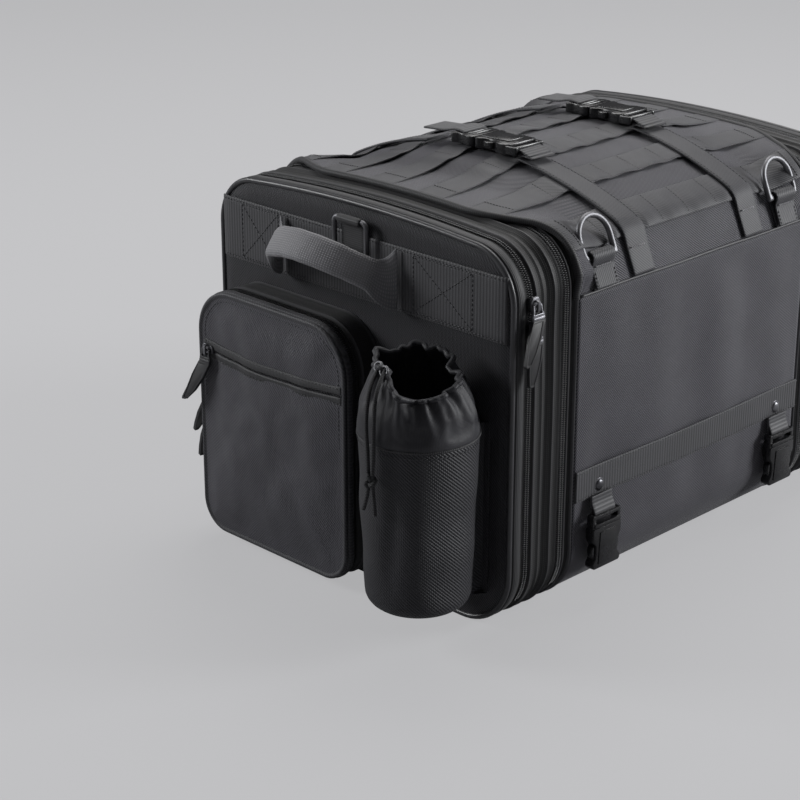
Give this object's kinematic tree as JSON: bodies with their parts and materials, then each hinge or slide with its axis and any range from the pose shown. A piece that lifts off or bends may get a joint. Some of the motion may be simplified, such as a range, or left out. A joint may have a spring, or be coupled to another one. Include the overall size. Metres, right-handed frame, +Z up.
{
  "type": "motorcycle tail bag",
  "caption": "Expandable motorcycle tail bag with zipped end doors, side pocket and bottle holder at each end, webbing grid and D-rings on top.",
  "frame": {"origin": "on the ground under the middle of the body, halfway between the two ends", "axes": "+X along the bag, from the left end to the right end; +Y across it; +Z up"},
  "size_m": [0.6182, 0.3622, 0.3288],
  "materials": {
    "ballistic_nylon": "coarse woven nylon, matt",
    "gusset_nylon": "woven nylon, matt",
    "webbing": "ribbed nylon webbing",
    "taffeta": "thin shiny nylon taffeta",
    "piping": "satin coated piping",
    "cord": "braided cord",
    "zip": "nylon coil on woven tape",
    "pull": "soft moulded pull",
    "buckle_plastic": "moulded acetal, fine grain",
    "metal": "black gloss paint on steel wire and zinc",
    "board": "polyethylene board"
  },
  "bodies": {
    "bag": {"top_panel": "ballistic_nylon", "bottom_panel": "ballistic_nylon", "near_side_panel": "ballistic_nylon", "far_side_panel": "ballistic_nylon", "base_board": "board", "grid_webbing": "webbing", "cross_straps": "webbing", "buckle_sockets": "buckle_plastic", "side_straps": "webbing", "d_ring_tabs": "webbing"},
    "end_section_left": {"end_frame_left": "gusset_nylon", "expansion_sleeve_left": "gusset_nylon", "frame_zips_left": "zip"},
    "door_left": {"end_panel_left": "ballistic_nylon", "piping_left": "piping", "end_band_left": "webbing", "pocket_body_left": "ballistic_nylon", "pocket_zip_left": "zip", "bottle_holder_left": "ballistic_nylon", "bottle_hood_left": "taffeta", "drawcord_left": "cord"},
    "handle_left": {"carry_handle_left": "webbing"},
    "ring_left": {"handle_ring_left": "metal"},
    "flap_left": {"pocket_flap_left": "ballistic_nylon"},
    "slit_pull_left": {"slit_pull_left": "pull"},
    "pocket_pull_upper_left": {"pocket_pull_upper_left": "pull"},
    "pocket_pull_lower_left": {"pocket_pull_lower_left": "pull"},
    "door_slider_left": {"door_slider_left": "metal"},
    "door_pull_upper_left": {"door_pull_upper_left": "pull"},
    "door_pull_lower_left": {"door_pull_lower_left": "pull"},
    "side_buckle_near_left": {"side_buckle_near_left": "buckle_plastic"},
    "d_ring_near_left": {"d_ring_near_left": "metal"},
    "side_buckle_far_left": {"side_buckle_far_left": "buckle_plastic"},
    "d_ring_far_left": {"d_ring_far_left": "metal"},
    "buckle_plug_left": {"buckle_plug_left": "buckle_plastic"},
    "end_section_right": {"end_frame_right": "gusset_nylon", "expansion_sleeve_right": "gusset_nylon", "frame_zips_right": "zip"},
    "door_right": {"end_panel_right": "ballistic_nylon", "piping_right": "piping", "end_band_right": "webbing", "pocket_body_right": "ballistic_nylon", "pocket_zip_right": "zip", "bottle_holder_right": "ballistic_nylon", "bottle_hood_right": "taffeta", "drawcord_right": "cord"},
    "handle_right": {"carry_handle_right": "webbing"},
    "ring_right": {"handle_ring_right": "metal"},
    "flap_right": {"pocket_flap_right": "ballistic_nylon"},
    "slit_pull_right": {"slit_pull_right": "pull"},
    "pocket_pull_upper_right": {"pocket_pull_upper_right": "pull"},
    "pocket_pull_lower_right": {"pocket_pull_lower_right": "pull"},
    "door_slider_right": {"door_slider_right": "metal"},
    "door_pull_upper_right": {"door_pull_upper_right": "pull"},
    "door_pull_lower_right": {"door_pull_lower_right": "pull"},
    "side_buckle_near_right": {"side_buckle_near_right": "buckle_plastic"},
    "d_ring_near_right": {"d_ring_near_right": "metal"},
    "side_buckle_far_right": {"side_buckle_far_right": "buckle_plastic"},
    "d_ring_far_right": {"d_ring_far_right": "metal"},
    "buckle_plug_right": {"buckle_plug_right": "buckle_plastic"}
  },
  "joints": [
    {"name": "expansion_left", "type": "slide", "parent": "bag", "child": "end_section_left", "axis": [-1, 0, 0], "range_m": [0, 0.09]},
    {"name": "door_hinge_left", "type": "hinge", "parent": "end_section_left", "child": "door_left", "pos_m": [-0.19215, 0, 0], "axis": [0, -1, 0], "range_deg": [0, 80]},
    {"name": "handle_swing_left", "type": "hinge", "parent": "door_left", "child": "handle_left", "pos_m": [-0.2132, 0.017, 0.258], "axis": [0, 1, 0], "range_deg": [-40, 9]},
    {"name": "ring_swing_left", "type": "hinge", "parent": "door_left", "child": "ring_left", "pos_m": [-0.217, 0, 0.29], "axis": [0, 1, 0], "range_deg": [0, 30]},
    {"name": "pocket_flap_hinge_left", "type": "hinge", "parent": "door_left", "child": "flap_left", "pos_m": [-0.247, 0.059, 0.108], "axis": [0, -1, 0], "range_deg": [0, 60]},
    {"name": "slit_pull_swing_left", "type": "hinge", "parent": "flap_left", "child": "slit_pull_left", "pos_m": [-0.25085, 0.1305, 0.163], "axis": [0, 1, 0], "range_deg": [0, 90]},
    {"name": "pocket_pull_upper_swing_left", "type": "hinge", "parent": "door_left", "child": "pocket_pull_upper_left", "pos_m": [-0.2315, 0.14735, 0.118], "axis": [1, 0, 0], "range_deg": [0, 60]},
    {"name": "pocket_pull_lower_swing_left", "type": "hinge", "parent": "door_left", "child": "pocket_pull_lower_left", "pos_m": [-0.2315, 0.14735, 0.1], "axis": [1, 0, 0], "range_deg": [-12, 0]},
    {"name": "door_slider_run_left", "type": "slide", "parent": "end_section_left", "child": "door_slider_left", "axis": [0, 0, -1], "range_m": [0, 0.17]},
    {"name": "door_pull_upper_swing_left", "type": "hinge", "parent": "end_section_left", "child": "door_pull_upper_left", "pos_m": [-0.1915, -0.16235, 0.256], "axis": [-1, 0, 0], "range_deg": [0, 90]},
    {"name": "door_pull_lower_swing_left", "type": "hinge", "parent": "door_slider_left", "child": "door_pull_lower_left", "pos_m": [-0.1915, -0.16235, 0.238], "axis": [0, 1, 0], "range_deg": [-10, 12]},
    {"name": "side_buckle_near_left_swing", "type": "hinge", "parent": "bag", "child": "side_buckle_near_left", "pos_m": [-0.112, -0.1617, 0.083], "axis": [-1, 0, 0], "range_deg": [0, 100]},
    {"name": "d_ring_near_left_swing", "type": "hinge", "parent": "bag", "child": "d_ring_near_left", "pos_m": [-0.112, -0.15224, 0.27288], "axis": [1, 0, 0], "range_deg": [0, 150]},
    {"name": "side_buckle_far_left_swing", "type": "hinge", "parent": "bag", "child": "side_buckle_far_left", "pos_m": [-0.112, 0.1617, 0.083], "axis": [1, 0, 0], "range_deg": [0, 100]},
    {"name": "d_ring_far_left_swing", "type": "hinge", "parent": "bag", "child": "d_ring_far_left", "pos_m": [-0.112, 0.15224, 0.27288], "axis": [-1, 0, 0], "range_deg": [-180, 0]},
    {"name": "buckle_plug_left_release", "type": "slide", "parent": "bag", "child": "buckle_plug_left", "axis": [0, 1, 0], "range_m": [0, 0.026]},
    {"name": "expansion_right", "type": "slide", "parent": "bag", "child": "end_section_right", "axis": [1, 0, 0], "range_m": [0, 0.09]},
    {"name": "door_hinge_right", "type": "hinge", "parent": "end_section_right", "child": "door_right", "pos_m": [0.19215, 0, 0], "axis": [0, 1, 0], "range_deg": [0, 80]},
    {"name": "handle_swing_right", "type": "hinge", "parent": "door_right", "child": "handle_right", "pos_m": [0.2132, -0.017, 0.258], "axis": [0, -1, 0], "range_deg": [-40, 9]},
    {"name": "ring_swing_right", "type": "hinge", "parent": "door_right", "child": "ring_right", "pos_m": [0.217, 0, 0.29], "axis": [0, -1, 0], "range_deg": [0, 30]},
    {"name": "pocket_flap_hinge_right", "type": "hinge", "parent": "door_right", "child": "flap_right", "pos_m": [0.247, -0.059, 0.108], "axis": [0, 1, 0], "range_deg": [0, 60]},
    {"name": "slit_pull_swing_right", "type": "hinge", "parent": "flap_right", "child": "slit_pull_right", "pos_m": [0.25085, -0.1305, 0.163], "axis": [0, -1, 0], "range_deg": [0, 90]},
    {"name": "pocket_pull_upper_swing_right", "type": "hinge", "parent": "door_right", "child": "pocket_pull_upper_right", "pos_m": [0.2315, -0.14735, 0.118], "axis": [-1, 0, 0], "range_deg": [0, 60]},
    {"name": "pocket_pull_lower_swing_right", "type": "hinge", "parent": "door_right", "child": "pocket_pull_lower_right", "pos_m": [0.2315, -0.14735, 0.1], "axis": [-1, 0, 0], "range_deg": [-12, 0]},
    {"name": "door_slider_run_right", "type": "slide", "parent": "end_section_right", "child": "door_slider_right", "axis": [0, 0, -1], "range_m": [0, 0.17]},
    {"name": "door_pull_upper_swing_right", "type": "hinge", "parent": "end_section_right", "child": "door_pull_upper_right", "pos_m": [0.1915, 0.16235, 0.256], "axis": [1, 0, 0], "range_deg": [0, 90]},
    {"name": "door_pull_lower_swing_right", "type": "hinge", "parent": "door_slider_right", "child": "door_pull_lower_right", "pos_m": [0.1915, 0.16235, 0.238], "axis": [0, -1, 0], "range_deg": [-10, 12]},
    {"name": "side_buckle_near_right_swing", "type": "hinge", "parent": "bag", "child": "side_buckle_near_right", "pos_m": [0.112, -0.1617, 0.083], "axis": [-1, 0, 0], "range_deg": [0, 100]},
    {"name": "d_ring_near_right_swing", "type": "hinge", "parent": "bag", "child": "d_ring_near_right", "pos_m": [0.112, -0.15224, 0.27288], "axis": [1, 0, 0], "range_deg": [0, 150]},
    {"name": "side_buckle_far_right_swing", "type": "hinge", "parent": "bag", "child": "side_buckle_far_right", "pos_m": [0.112, 0.1617, 0.083], "axis": [1, 0, 0], "range_deg": [0, 100]},
    {"name": "d_ring_far_right_swing", "type": "hinge", "parent": "bag", "child": "d_ring_far_right", "pos_m": [0.112, 0.15224, 0.27288], "axis": [-1, 0, 0], "range_deg": [-180, 0]},
    {"name": "buckle_plug_right_release", "type": "slide", "parent": "bag", "child": "buckle_plug_right", "axis": [0, 1, 0], "range_m": [0, 0.026]}
  ]
}
